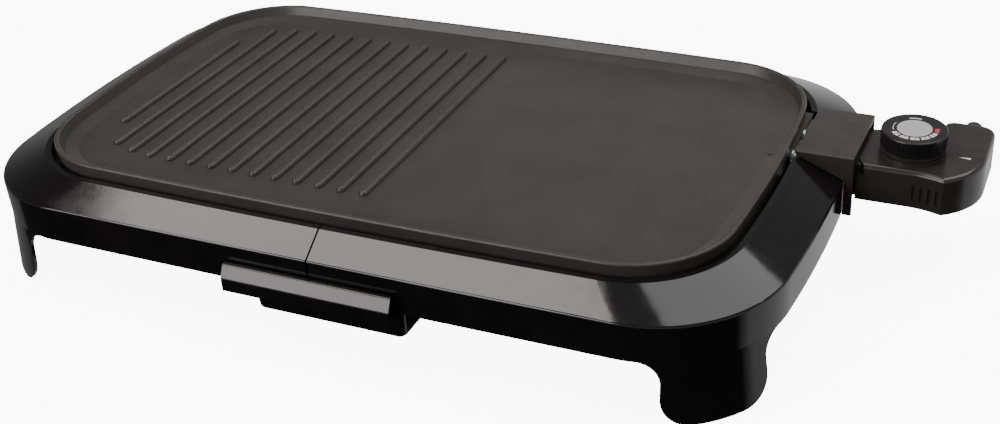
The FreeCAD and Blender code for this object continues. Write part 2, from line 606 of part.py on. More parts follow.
def build_plate():
    outer = loft(PLATE.grown(-PLATE_DRAFT).wire(PLATE_BOTTOM), PLATE.wire(PLATE_TOP))
    outer = outer.makeFillet(RIM_ROUND, edges_at(outer, PLATE_TOP))
    gutter_z = FLOOR_Z + GUTTER_RISE
    wall_foot = -RIM_THICK - WALL_LEAN
    pan = loft(PLATE.grown(wall_foot).wire(gutter_z), PLATE.grown(-RIM_THICK).wire(PLATE_TOP + 0.01))
    slope = loft(PLATE.grown(wall_foot - GUTTER_STEP - GUTTER_WIDTH).wire(FLOOR_Z),
                 PLATE.grown(wall_foot - GUTTER_STEP).wire(gutter_z + 0.01))
    plate = outer.cut(pan).cut(slope)
    rim_in = [e for e in edges_at(plate, PLATE_TOP, 0.05)
              if e.BoundBox.XLength < 2 * (PLATE_END - RIM_THICK) + 0.5
              and abs(e.valueAt(e.FirstParameter).y) < -PLATE_FRONT - RIM_THICK + 0.2
              and abs(e.valueAt(e.FirstParameter).x) < PLATE_END - RIM_THICK + 0.2]
    plate = plate.makeFillet(RIM_ROUND, rim_in)
    under = PLATE.grown(-PLATE_DRAFT - RIM_THICK - 1.5).prism(PLATE_BOTTOM - 1, FLOOR_UNDER)
    plate = plate.cut(under)
    ribs = []
    for x, front, back in rib_spans():
        ribs.append(rod((x, front + RIB_RADIUS, FLOOR_Z), (0, 1, 0), back - front - 2 * RIB_RADIUS,
                        2 * RIB_RADIUS))
        for y in (front + RIB_RADIUS, back - RIB_RADIUS):
            ribs.append(Part.makeSphere(RIB_RADIUS, Vector(x, y, FLOOR_Z)))
    plate = plate.fuse(ribs)
    feet = [rod((x, y, SHELF_TOP), (0, 0, 1), PLATE_FOOT_HEIGHT + 3, PLATE_FOOT_D)
            for x, y in plate_foot_places()]
    end_block = box(END_BLOCK_X, PLATE_END, SOCKET_Y - END_BLOCK_HALF, SOCKET_Y + END_BLOCK_HALF,
                    AXIS_Z - 7, PLATE_BOTTOM + 8)
    probe_boss = box(PROBE_TIP - 4, PLATE_END - 10, SOCKET_Y - 7, SOCKET_Y + 7, AXIS_Z - 6.5,
                     FLOOR_UNDER + 1)
    drain_y = PLATE_FRONT + DRAIN_INSET
    spout = rod((0, drain_y, FLOOR_UNDER - DRAIN_DROP), (0, 0, 1), DRAIN_DROP + 1,
                DRAIN_D + 2 * DRAIN_WALL)
    ridge = swept(element_path(), SHEATH_D + 6)
    ridge = ridge.common(box(-PLATE_END, PLATE_END, PLATE_FRONT, -PLATE_FRONT, AXIS_Z - 20,
                             FLOOR_UNDER + 1))
    plate = plate.fuse(feet + [probe_boss, spout, ridge])
    plate = plate.common(PLATE.prism(0, PLATE_TOP + 5)).fuse(end_block)
    plate = plate.cut(rod((0, drain_y, 0), (0, 0, 1), FLOOR_Z + GUTTER_RISE, DRAIN_D))
    plate = plate.cut(rod((PROBE_TIP - 1, SOCKET_Y, AXIS_Z), (1, 0, 0), PROBE_REACH + 30,
                          PROBE_D + 2 * PROBE_FIT))
    plate = plate.cut(swept(element_path(), SHEATH_D))
    for y, z in bracket_screw_places() + hood_screw_places():
        plate = plate.cut(rod((PLATE_END - SCREW_BITE, y, z), (1, 0, 0), 12, SCREW_D))
    return plate.removeSplitter()


def build_terminals():
    """Terminal bracket, ceramic bushes, male pins and the screws that hold the bracket."""
    half = END_BLOCK_HALF - 1
    bracket = box(BRACKET_X, BRACKET_X + BRACKET_THICK, SOCKET_Y - half, SOCKET_Y + half,
                  AXIS_Z - 7, AXIS_Z + 6.5)
    screws = []
    for y, z in bracket_screw_places():
        bracket = bracket.fuse(rod((BRACKET_X, y, z), (1, 0, 0), BRACKET_THICK, 9.0))
    bracket = bracket.cut(rod((BRACKET_X - 1, SOCKET_Y, AXIS_Z), (1, 0, 0), 5, PROBE_D + 2 * PROBE_FIT))
    bushes = []
    pins = []
    for sign in (1, -1):
        y = SOCKET_Y + sign * PIN_SPREAD / 2
        bracket = bracket.cut(rod((BRACKET_X - 1, y, AXIS_Z), (1, 0, 0), 5, SHEATH_D))
        start = BRACKET_X + BRACKET_THICK
        bush = rod((start, y, AXIS_Z), (1, 0, 0), 5.0, BUSH_D)
        bush = bush.cut(rod((start - 1, y, AXIS_Z), (1, 0, 0), 3.0, SHEATH_D))
        bush = bush.cut(rod((start, y, AXIS_Z), (1, 0, 0), 8.0, PIN_D))
        bushes.append(bush)
        pin = rod((start + 2, y, AXIS_Z), (1, 0, 0), PIN_REACH - PIN_D / 2, PIN_D)
        pin = pin.fuse(Part.makeSphere(PIN_D / 2, Vector(start + 2 + PIN_REACH - PIN_D / 2, y, AXIS_Z)))
        pins.append(pin.removeSplitter())
    for y, z in bracket_screw_places():
        bracket = bracket.cut(rod((BRACKET_X - 1, y, z), (1, 0, 0), 5, SCREW_D))
        screws.append(screw((BRACKET_X + BRACKET_THICK, y, z), (-1, 0, 0), BRACKET_THICK + SCREW_BITE,
                            head_d=5.0, head=1.6))
    for y, z in hood_screw_places():
        bracket = bracket.cut(rod((BRACKET_X - 1, y, z), (1, 0, 0), 5, SCREW_D))
    return {"terminal_bracket": bracket.removeSplitter(), "terminal_bushes": Part.makeCompound(bushes),
            "terminal_pins": Part.makeCompound(pins), "bracket_screws": Part.makeCompound(screws)}


def hood_screw_places():
    return [(SOCKET_Y + sign * PIN_SPREAD / 4, AXIS_Z - 3.0) for sign in (1, -1)]


def build_hood():
    """Cover over the socket: roof, side walls that follow the bevel, and an inner wall on the bracket."""
    y0 = SOCKET_Y - HOOD_WIDTH / 2
    y1 = SOCKET_Y + HOOD_WIDTH / 2
    block = box(HOOD_IN, HOOD_OUT, y0, y1, HOOD_TOP - HOOD_TAB, HOOD_TOP)
    top_edges = [e for e in edges_at(block, HOOD_TOP)]
    block = block.makeFillet(0.8, top_edges)
    inside = box(HOOD_IN - 1, HOOD_OUT + 1, y0 + HOOD_WALL, y1 - HOOD_WALL, 0, HOOD_TOP - HOOD_WALL)
    hood = block.cut(inside)
    skirt = BASE.grown(HOOD_CLEARANCE).prism(0, BEVEL_Z + HOOD_CLEARANCE)
    bevel = loft(BASE.grown(HOOD_CLEARANCE).wire(BEVEL_Z + HOOD_CLEARANCE),
                 LEDGE_OUT.grown(HOOD_CLEARANCE).wire(LEDGE_Z + HOOD_CLEARANCE))
    hood = hood.cut(skirt.fuse(bevel))
    wall_x = HOOD_IN + 1.5
    side = HOOD_WIDTH / 2 - HOOD_WALL - 2 * HOOD_CLEARANCE
    inner = box(wall_x, wall_x + HOOD_WALL, SOCKET_Y - side, SOCKET_Y + side, AXIS_Z - 7,
                HOOD_TOP - HOOD_WALL)
    for sign in (1, -1):
        inner = inner.cut(rod((wall_x - 1, SOCKET_Y + sign * PIN_SPREAD / 2, AXIS_Z), (1, 0, 0), 8,
                              BUSH_D + 3))
    inner = inner.cut(rod((wall_x - 1, SOCKET_Y, AXIS_Z), (1, 0, 0), 8, PROBE_D + 4))
    spacers = []
    screws = []
    seat = wall_x + HOOD_WALL
    for y, z in hood_screw_places():
        spacers.append(rod((BRACKET_X + BRACKET_THICK, y, z), (1, 0, 0),
                           wall_x - BRACKET_X - BRACKET_THICK, 6.0))
    hood = hood.fuse([inner] + spacers)
    for y, z in hood_screw_places():
        hood = hood.cut(rod((BRACKET_X, y, z), (1, 0, 0), 20, SCREW_D))
        screws.append(screw((seat, y, z), (-1, 0, 0), seat - BRACKET_X + SCREW_BITE, head_d=5.4))
    return {"socket_hood": hood.removeSplitter(), "hood_screws": Part.makeCompound(screws)}


# ---------------------------------------------------------------- plug-in control
def grip_corner(inset):
    """Front corner of the grip, where the flare meets the long curve, moved inwards by inset."""
    flare_turn = -2 * math.atan2(GRIP_FLARE, GRIP_FLARE_RUN)
    curve_turn = math.asin((GRIP_CORNER_X - CONTROL_END + GRIP_FRONT_ROUND) / GRIP_FRONT_ROUND)
    n1 = Vector(-math.sin(flare_turn), math.cos(flare_turn), 0)
    n2 = Vector(-math.sin(curve_turn), math.cos(curve_turn), 0)
    return Vector(GRIP_CORNER_X, GRIP_CORNER_Y, 0) + (n1 + n2) * (inset / (1 + n1.dot(n2)))


def control_wire(z, inset, nose_cut):
    """Plan outline of the control: straight nose, front that flares to the grip, grip that reaches back."""
    front = SOCKET_Y - CONTROL_HALF + inset
    back = SOCKET_Y + CONTROL_HALF - inset
    nose = NOSE_X + inset
    grip_back = SOCKET_Y + GRIP_REACH - inset
    end = CONTROL_END - inset
    neck = GRIP_X + inset
    r2 = GRIP_BACK_ROUND - inset
    r3 = GRIP_NECK_ROUND - inset
    r4 = GRIP_THROAT + inset
    k = 1 - math.sqrt(0.5)
    c = nose_cut
    corner = grip_corner(inset)
    flare_x = GRIP_CORNER_X - GRIP_FLARE_RUN
    flare_r = (GRIP_FLARE_RUN ** 2 + GRIP_FLARE ** 2) / (2 * GRIP_FLARE)
    half_turn = math.atan2(GRIP_FLARE, GRIP_FLARE_RUN)
    flare_mid = (flare_x + (flare_r + inset) * math.sin(half_turn),
                 front - flare_r - inset + (flare_r + inset) * math.cos(half_turn), z)
    cx = CONTROL_END - GRIP_FRONT_ROUND
    cy = GRIP_CORNER_Y + math.sqrt(GRIP_FRONT_ROUND ** 2 - (GRIP_CORNER_X - cx) ** 2)
    curve_r = GRIP_FRONT_ROUND - inset
    turn = math.atan2(corner.y - cy, corner.x - cx) / 2
    curve_mid = (cx + curve_r * math.cos(turn), cy + curve_r * math.sin(turn), z)
    edges = [line((nose + c, front, z), (flare_x, front, z)),
             arc((flare_x, front, z), flare_mid, (corner.x, corner.y, z)),
             arc((corner.x, corner.y, z), curve_mid, (end, cy, z)),
             line((end, cy, z), (end, grip_back - r2, z)),
             arc((end, grip_back - r2, z), (end - r2 * k, grip_back - r2 * k, z),
                 (end - r2, grip_back, z)),
             line((end - r2, grip_back, z), (neck + r3, grip_back, z)),
             arc((neck + r3, grip_back, z), (neck + r3 * k, grip_back - r3 * k, z),
                 (neck, grip_back - r3, z)),
             line((neck, grip_back - r3, z), (neck, back + r4, z)),
             arc((neck, back + r4, z), (neck - r4 * k, back + r4 * k, z), (neck - r4, back, z)),
             line((neck - r4, back, z), (nose + c, back, z)),
             line((nose, back - c, z), (nose, front + c, z))]
    if c > 0:
        edges.insert(0, line((nose, front + c, z), (nose + c, front, z)))
        edges.insert(-1, line((nose + c, back, z), (nose, back - c, z)))
    return Part.Wire(edges)


def control_prism(z0, z1, inset=0.0, nose_cut=0.0):
    return Part.Face(control_wire(z0, inset, nose_cut)).extrude(Vector(0, 0, z1 - z0))


def nose_cuts():
    """Two wedges that take away the upper corners of the nose."""
    x0 = NOSE_X - 1
    x1 = NOSE_X + NOSE_CUT_ALONG * (1 + 1 / NOSE_CUT_ACROSS)
    reach = CONTROL_HALF + 1
    inner = CONTROL_HALF - NOSE_CUT_ACROSS * (1 + 1 / NOSE_CUT_ALONG)
    z = CONTROL_TOP - NOSE_CUT_DEPTH
    return [prism([(x0, SOCKET_Y + sign * reach, z), (x1, SOCKET_Y + sign * reach, z),
                   (x0, SOCKET_Y + sign * inner, z)], NOSE_CUT_DEPTH + 1) for sign in (1, -1)]


def flare_y(x):
    """Front face of the control at a given X."""
    run = x - (GRIP_CORNER_X - GRIP_FLARE_RUN)
    radius = (GRIP_FLARE_RUN ** 2 + GRIP_FLARE ** 2) / (2 * GRIP_FLARE)
    drop = radius - math.sqrt(radius ** 2 - run ** 2) if run > 0 else 0.0
    return SOCKET_Y - CONTROL_HALF - drop


def shell_screw_places():
    x_grip = (GRIP_X + CONTROL_END) / 2
    return [(NOSE_X + 22, SOCKET_Y - CONTROL_HALF + 7.0), (NOSE_X + 22, SOCKET_Y + CONTROL_HALF - 7.0),
            (x_grip, SOCKET_Y - CONTROL_HALF + 10), (x_grip + 4, SOCKET_Y + GRIP_REACH - 20)]


def gland_x():
    return (GRIP_X + CONTROL_END) / 2 + 1.5


def build_control_shells():
    body = control_prism(CONTROL_BOTTOM, CONTROL_TOP)
    rim = [e for e in edges_at(body, CONTROL_TOP) if e.BoundBox.XMax > NOSE_X + 0.1]
    body = body.makeFillet(CONTROL_ROUND, rim).cut(nose_cuts())
    hollow = control_prism(CONTROL_BOTTOM - 1, CONTROL_TOP - CONTROL_WALL, CONTROL_WALL, CONTROL_CHAMFER)
    shell = body.cut(hollow)
    shell = shell.fuse(box(NOSE_X - SPIGOT_REACH, NOSE_X + CONTROL_WALL,
                           SOCKET_Y - SPIGOT_HALF,
                           SOCKET_Y + SPIGOT_HALF, CONTROL_BOTTOM + COVER_THICK,
                           CONTROL_TOP - SPIGOT_DROP))
    lid_space = control_prism(CONTROL_BOTTOM - 1, CONTROL_BOTTOM + COVER_THICK, CONTROL_WALL / 2)
    shell = shell.cut(lid_space)
    collar = rod((DIAL_X, SOCKET_Y, CONTROL_TOP - 1), (0, 0, 1), COLLAR_STEP + 1, COLLAR_D)
    collar = collar.fuse(rod((DIAL_X, SOCKET_Y, CONTROL_TOP), (0, 0, 1), COLLAR_HEIGHT, COLLAR_NECK_D))
    groove = rod((DIAL_X, SOCKET_Y, CONTROL_TOP + COLLAR_STEP), (0, 0, 1), COLLAR_GROOVE, COLLAR_D + 2)
    groove = groove.cut(rod((DIAL_X, SOCKET_Y, CONTROL_TOP), (0, 0, 1), COLLAR_HEIGHT,
                            COLLAR_NECK_D - 2 * COLLAR_GROOVE_DEPTH))
    shell = shell.fuse(collar.cut(groove))
    bosses = [rod((x, y, CONTROL_BOTTOM + COVER_THICK), (0, 0, 1),
                  CONTROL_HEIGHT - COVER_THICK - CONTROL_WALL / 2, 6.5) for x, y in shell_screw_places()]
    shell = shell.fuse(bosses)
    for x, y in shell_screw_places():
        shell = shell.cut(rod((x, y, CONTROL_BOTTOM - 1), (0, 0, 1), 12.0, SCREW_D))
    shell = shell.cut(rod((DIAL_X, SOCKET_Y, CONTROL_BOTTOM + 3), (0, 0, 1), CONTROL_HEIGHT + 10,
                          SPINDLE_D + 2 * SPINDLE_FIT))
    bore_x = NOSE_X - SPIGOT_REACH - 1
    shell = shell.cut(rod((bore_x, SOCKET_Y, AXIS_Z), (1, 0, 0), SPIGOT_REACH + 6, PROBE_D))
    for sign in (1, -1):
        shell = shell.cut(rod((bore_x, SOCKET_Y + sign * PIN_SPREAD / 2, AXIS_Z), (1, 0, 0),
                              SLEEVE_END - bore_x, RECEPTACLE_D))
    shell = shell.cut(rod((gland_x(), SOCKET_Y + GRIP_REACH - 6, GLAND_Z), (0, 1, 0), 12, GLAND_D - 4))
    for i in range(VENT_COUNT):
        x = NOSE_X + VENT_START + VENT_PITCH * i
        y = flare_y(x + VENT_WIDTH / 2)
        shell = shell.cut(box(x, x + VENT_WIDTH, y - 3, y + VENT_DEPTH,
                              CONTROL_BOTTOM + VENT_LOW, CONTROL_BOTTOM + VENT_HIGH))
    cover = control_prism(CONTROL_BOTTOM, CONTROL_BOTTOM + COVER_THICK, CONTROL_WALL / 2 + COVER_GAP)
    screws = []
    for x, y in shell_screw_places():
        cover = cover.cut(rod((x, y, CONTROL_BOTTOM - 1), (0, 0, 1), 5, SCREW_D))
        screws.append(screw((x, y, CONTROL_BOTTOM), (0, 0, 1), 10.0, head_d=5.4, head=1.4))
    return {"control_housing": shell.removeSplitter(), "control_cover": cover,
            "cover_screws": Part.makeCompound(screws)}


def build_control_insides():
    """Probe, female receptacles, thermostat switch and the wiring block."""
    inside = NOSE_X + CONTROL_WALL
    floor = CONTROL_BOTTOM + COVER_THICK
    block_face = inside + CONTROL_CHAMFER
    frame_x = block_face + BLOCK_DEPTH
    probe_len = frame_x + 4.0 - PROBE_TIP - 1.0
    probe = rod((PROBE_TIP + 1.0, SOCKET_Y, AXIS_Z), (1, 0, 0), probe_len, PROBE_D)
    probe = probe.makeFillet(1.5, [e for e in probe.Edges if e.BoundBox.XMax < PROBE_TIP + 2])
    probe = probe.fuse(rod((inside, SOCKET_Y, AXIS_Z), (1, 0, 0), 4.0, PROBE_D + 6)).removeSplitter()
    sleeves = []
    half = CONTROL_HALF - CONTROL_WALL - 0.2
    block = box(block_face, frame_x, SOCKET_Y - half, SOCKET_Y + half, AXIS_Z - 7, AXIS_Z + 6)
    block = block.cut(rod((inside, SOCKET_Y, AXIS_Z), (1, 0, 0), 12, PROBE_D))
    tip = BRACKET_X + BRACKET_THICK + 9.0
    for sign in (1, -1):
        y = SOCKET_Y + sign * PIN_SPREAD / 2
        block = block.cut(rod((inside, y, AXIS_Z), (1, 0, 0), 12, RECEPTACLE_D))
        sleeve = rod((tip, y, AXIS_Z), (1, 0, 0), SLEEVE_END - tip, RECEPTACLE_D)
        sleeve = sleeve.cut(rod((tip - 1, y, AXIS_Z), (1, 0, 0), PIN_REACH, PIN_D + 2 * PROBE_FIT))
        sleeves.append(sleeve)
    frame = box(frame_x, DIAL_X + 12, SOCKET_Y - 5, SOCKET_Y + 5, floor + 1.0, floor + 2.4)
    frame = frame.fuse(box(frame_x, frame_x + 1.4, SOCKET_Y - 5, SOCKET_Y + 5, floor + 1.0, AXIS_Z + 5))
    frame = frame.cut(rod((frame_x - 1, SOCKET_Y, AXIS_Z), (1, 0, 0), 4, PROBE_D)).removeSplitter()
    foot = rod((DIAL_X, SOCKET_Y, floor), (0, 0, 1), 1.0, 5.0)
    frame = frame.fuse(foot).removeSplitter()
    stack_x = DIAL_X + 6
    low = floor + 2.4
    stack = []
    blades = []
    z = low
    for i in range(2):
        stack.append(box(stack_x, stack_x + 6, SOCKET_Y - 4, SOCKET_Y + 4, z, z + 3.0))
        blades.append(box(DIAL_X - 11, stack_x + 8, SOCKET_Y - 2.5, SOCKET_Y + 2.5, z + 3.0, z + 3.5))
        z += 3.5
    blades[0] = blades[0].fuse(rod((DIAL_X - 8, SOCKET_Y, low + 3.5), (0, 0, 1), 1.5, 3.0))
    blades[1] = blades[1].fuse(rod((DIAL_X - 8, SOCKET_Y, low + 5.0), (0, 0, 1), 1.5, 3.0))
    blade_top = low + 7.0
    spindle = rod((DIAL_X, SOCKET_Y, blade_top + 0.3), (0, 0, 1), DIAL_TOP - 5.0 - blade_top - 0.3,
                  SPINDLE_D)
    block_x = GRIP_X + 10
    wiring = box(block_x, block_x + 14, SOCKET_Y + 12, SOCKET_Y + 24, floor, floor + 9)
    for i in range(2):
        wiring = wiring.cut(rod((block_x + 3.8 + 6.4 * i, SOCKET_Y + 11, floor + 5), (0, 1, 0), 14, 3.6))
    gland_y = SOCKET_Y + GRIP_REACH
    gz = GLAND_Z
    gland = rod((gland_x(), gland_y, gz), (0, 1, 0), GLAND_LENGTH, GLAND_D)
    gland = gland.makeFillet(1.5, [e for e in gland.Edges if e.BoundBox.YMin > gland_y + 1
                                   and e.BoundBox.YLength < 0.01])
    gland = gland.fuse(rod((gland_x(), gland_y - CONTROL_WALL, gz), (0, 1, 0), CONTROL_WALL, GLAND_D - 4))
    gland = gland.fuse(rod((gland_x(), gland_y - CONTROL_WALL - 2, gz), (0, 1, 0), 2.0, GLAND_D - 2))
    gland = gland.cut(rod((gland_x(), gland_y - 10, gz), (0, 1, 0), 30, GLAND_BORE)).removeSplitter()
    return {"probe_rod": probe, "pin_receptacles": Part.makeCompound(sleeves), "receptacle_block": block,
            "thermostat_frame": frame, "contact_stack": Part.makeCompound(stack),
            "lower_contact_blade": blades[0], "upper_contact_blade": blades[1], "dial_spindle": spindle, "wiring_block": wiring,
            "cord_gland": gland}


def build_dial():
    knob = rod((DIAL_X, SOCKET_Y, DIAL_BOTTOM), (0, 0, 1), DIAL_HEIGHT, DIAL_D)
    knob = knob.makeFillet(0.9, edges_at(knob, DIAL_TOP))
    flutes = []
    for i in range(DIAL_FLUTES):
        a = 2 * math.pi * i / DIAL_FLUTES
        reach = DIAL_D / 2 + FLUTE_RADIUS * 0.45
        flutes.append(rod((DIAL_X + reach * math.cos(a), SOCKET_Y + reach * math.sin(a),
                           DIAL_BOTTOM + 1.2),
                          (0, 0, 1), DIAL_HEIGHT - 3.0, 2 * FLUTE_RADIUS))
    knob = knob.cut(Part.makeCompound(flutes))
    knob = knob.cut(rod((DIAL_X, SOCKET_Y, DIAL_TOP - DISC_THICK), (0, 0, 1), 5, DISC_D))
    hollow = rod((DIAL_X, SOCKET_Y, DIAL_BOTTOM - 1), (0, 0, 1), 7.0, DIAL_D - 6)
    hollow = hollow.cut(rod((DIAL_X, SOCKET_Y, DIAL_BOTTOM - 1), (0, 0, 1), 8.0, SPINDLE_D + 5))
    knob = knob.cut(hollow)
    knob = knob.cut(rod((DIAL_X, SOCKET_Y, DIAL_BOTTOM - 1), (0, 0, 1), DIAL_TOP - 5.0 - DIAL_BOTTOM + 1,
                        SPINDLE_D))
    disc = rod((DIAL_X, SOCKET_Y, DIAL_TOP - DISC_THICK), (0, 0, 1), DISC_THICK + 0.4, DISC_D)
    disc = disc.makeFillet(0.3, edges_at(disc, DIAL_TOP + 0.4))
    return {"dial_knob": knob, "dial_disc": disc}


def main():
    parts = {}
    parts.update(build_base())
    parts.update(build_tray())
    parts.update(build_rails())
    parts["griddle_plate"] = build_plate()
    parts["heating_element"] = swept(element_path(), SHEATH_D)
    parts.update(build_terminals())
    parts.update(build_hood())
    parts.update(build_control_shells())
    parts.update(build_control_insides())
    parts.update(build_dial())
    back = parts["base_left"].optimalBoundingBox(False).YMax
    handle_front = handle_solid()[1]
    middle = Vector((CONTROL_END - BASE_END) / 2, (back + handle_front) / 2, 0)
    os.makedirs("parts", exist_ok=True)
    for name, shape in parts.items():
        shape.translate(middle * -1)
        solids = shape.Solids
        print(f"{name:22s} solids {len(solids)} valid {shape.isValid()} volume {shape.Volume:.0f}")
        shape.exportStep(f"parts/{name}.step")


main()
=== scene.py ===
"""Looks of the electric griddle: finishes, printed dial marks, studio light and camera."""
import logging
import math
from dataclasses import dataclass, field
from enum import Enum

import bpy
import bmesh
from mathutils import Matrix, Vector


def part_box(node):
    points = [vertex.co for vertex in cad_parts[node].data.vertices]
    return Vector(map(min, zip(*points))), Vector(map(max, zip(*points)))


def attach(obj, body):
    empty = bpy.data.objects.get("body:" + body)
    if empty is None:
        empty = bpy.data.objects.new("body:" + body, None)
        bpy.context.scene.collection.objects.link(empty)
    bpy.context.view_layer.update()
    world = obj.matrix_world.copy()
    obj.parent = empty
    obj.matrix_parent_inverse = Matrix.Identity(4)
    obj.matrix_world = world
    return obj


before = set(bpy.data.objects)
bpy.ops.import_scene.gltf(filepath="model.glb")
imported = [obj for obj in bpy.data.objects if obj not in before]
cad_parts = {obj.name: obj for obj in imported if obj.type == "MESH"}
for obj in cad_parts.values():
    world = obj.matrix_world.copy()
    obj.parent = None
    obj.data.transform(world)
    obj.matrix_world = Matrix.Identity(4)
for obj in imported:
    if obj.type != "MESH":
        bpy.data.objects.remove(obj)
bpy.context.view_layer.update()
LOG = logging.getLogger("griddle")
MM = 0.001

Colour = tuple[float, float, float]
Point = tuple[float, float, float]


class Surface(Enum):
    """The named texture patterns that a finish can carry."""

    ORANGE_PEEL = "orange_peel"
    SPARK_GRAIN = "spark_grain"
    BRUSHED = "brushed"
    CAST = "cast"


class Graph:
    """Short way to build one material's node tree."""

    def __init__(self, name: str) -> None:
        """Start a material with a Principled shader.

        Args:
            name: The material's name.
        """
        self.material = bpy.data.materials.new(name)
        self.material.use_nodes = True
        self.nodes = self.material.node_tree.nodes
        self.links = self.material.node_tree.links
        self.shader = self.nodes["Principled BSDF"]
        self.coords = self.nodes.new("ShaderNodeTexCoord").outputs["Object"]

    def set(self, **values: float | Colour) -> None:
        """Set uniform values on the shader's own sockets.

        Args:
            values: Socket names, with spaces written as underscores, and their values.
        """
        for name, value in values.items():
            socket = self.shader.inputs[name.replace("_", " ")]
            is_colour = isinstance(value, tuple) and len(value) == 3 and socket.type == "RGBA"
            socket.default_value = (*value, 1.0) if is_colour else value

    def stretched(self, scale: Point) -> bpy.types.NodeSocket:
        """Object coordinates stretched along the axes.

        Args:
            scale: Factor on each axis.

        Returns:
            The mapped vector socket.
        """
        mapping = self.nodes.new("ShaderNodeMapping")
        mapping.inputs["Scale"].default_value = scale
        self.links.new(self.coords, mapping.inputs["Vector"])
        return mapping.outputs["Vector"]

    def noise(self, size: float, detail: float = 2.0, rough: float = 0.5,
              vector: bpy.types.NodeSocket | None = None) -> bpy.types.NodeSocket:
        """Noise with features of a real size.

        Args:
            size: Feature size in metres.
            detail: Octaves.
            rough: How strong the finer octaves are.
            vector: Coordinates, or None for the object's own.

        Returns:
            The grey value socket.
        """
        node = self.nodes.new("ShaderNodeTexNoise")
        node.inputs["Scale"].default_value = 1.0 / size
        node.inputs["Detail"].default_value = detail
        node.inputs["Roughness"].default_value = rough
        self.links.new(vector or self.coords, node.inputs["Vector"])
        return node.outputs["Fac"]

    def cells(self, size: float) -> bpy.types.NodeSocket:
        """Distance to the nearest of a scatter of points.

        Args:
            size: Spacing of the points in metres.

        Returns:
            The distance socket.
        """
        node = self.nodes.new("ShaderNodeTexVoronoi")
        node.inputs["Scale"].default_value = 1.0 / size
        self.links.new(self.coords, node.inputs["Vector"])
        return node.outputs["Distance"]

    def spread(self, value: bpy.types.NodeSocket, low: float, high: float,
               start: float = 0.0, end: float = 1.0) -> bpy.types.NodeSocket:
        """Map a value from one range to another, clamped.

        Args:
            value: The socket to map.
            low: Result at start.
            high: Result at end.
            start: Input at which the result is low.
            end: Input at which the result is high.

        Returns:
            The mapped value socket.
        """
        node = self.nodes.new("ShaderNodeMapRange")
        node.inputs["From Min"].default_value = start
        node.inputs["From Max"].default_value = end
        node.inputs["To Min"].default_value = low
        node.inputs["To Max"].default_value = high
        self.links.new(value, node.inputs["Value"])
        return node.outputs["Result"]

    def blend(self, factor: bpy.types.NodeSocket, first: Colour,
              second: Colour) -> bpy.types.NodeSocket:
        """Mix two colours by a factor.

        Args:
            factor: 0 gives first, 1 gives second.
            first: Linear colour.
            second: Linear colour.

        Returns:
            The colour socket.
        """
        node = self.nodes.new("ShaderNodeMix")
        node.data_type = "RGBA"
        node.inputs["A"].default_value = (*first, 1.0)
        node.inputs["B"].default_value = (*second, 1.0)
        self.links.new(factor, node.inputs["Factor"])
        return next(s for s in node.outputs if s.type == "RGBA")

    def total(self, first: bpy.types.NodeSocket, second: bpy.types.NodeSocket,
              weight: float = 1.0) -> bpy.types.NodeSocket:
        """Sum of one height and a share of another.

        Args:
            first: The height taken whole.
            second: The height that is weighted.
            weight: Share of the second height.

        Returns:
            The summed socket.
        """
        node = self.nodes.new("ShaderNodeMath")
        node.operation = "MULTIPLY_ADD"
        node.inputs[1].default_value = weight
        self.links.new(second, node.inputs[0])
        self.links.new(first, node.inputs[2])
        return node.outputs["Value"]

    def bump(self, height: bpy.types.NodeSocket, depth: float, strength: float = 1.0) -> None:
        """Drive the surface normal from a height.

        Args:
            height: Grey value, 0 to 1.
            depth: Depth in metres that the whole range stands for.
            strength: Share of the bump that shows.
        """
        node = self.nodes.new("ShaderNodeBump")
        node.inputs["Distance"].default_value = depth
        node.inputs["Strength"].default_value = strength
        self.links.new(height, node.inputs["Height"])
        self.links.new(node.outputs["Normal"], self.shader.inputs["Normal"])

    def feed(self, socket: str, value: bpy.types.NodeSocket) -> None:
        """Link a value to one of the shader's sockets.

        Args:
            socket: Name of the shader input.
            value: The socket that feeds it.
        """
        self.links.new(value, self.shader.inputs[socket])


@dataclass(frozen=True)
class Moulding:
    """Moulded plastic, from high gloss to fine spark-eroded grain."""

    name: str
    colour: Colour
    haze: Colour
    roughness: float
    pattern: Surface = Surface.ORANGE_PEEL
    specular: float = 0.5
    grain: float = 0.35 * MM
    grain_depth: float = 0.01 * MM

    def material(self) -> bpy.types.Material:
        """Build the material.

        Returns:
            A plastic with flow haze, uneven gloss and a surface pattern.
        """
        graph = Graph(self.name)
        clouds = graph.noise(38 * MM, 3.0)
        graph.feed("Base Color",
                   graph.blend(graph.spread(clouds, 0.0, 1.0, 0.35, 0.7), self.colour, self.haze))
        smears = graph.noise(14 * MM, 4.0, 0.6, graph.stretched((1.0, 1.6, 1.0)))
        graph.feed("Roughness",
                   graph.spread(smears, self.roughness * 0.8, self.roughness * 1.3, 0.35, 0.7))
        if self.pattern is Surface.ORANGE_PEEL:
            height = graph.total(graph.noise(self.grain * 9, 1.0), graph.noise(self.grain, 1.0), 0.15)
            depth = self.grain_depth
        else:
            height = graph.noise(self.grain, 3.0, 0.7)
            depth = self.grain_depth * 2.5
        graph.bump(height, depth)
        graph.set(Specular_IOR_Level=self.specular)
        return graph.material


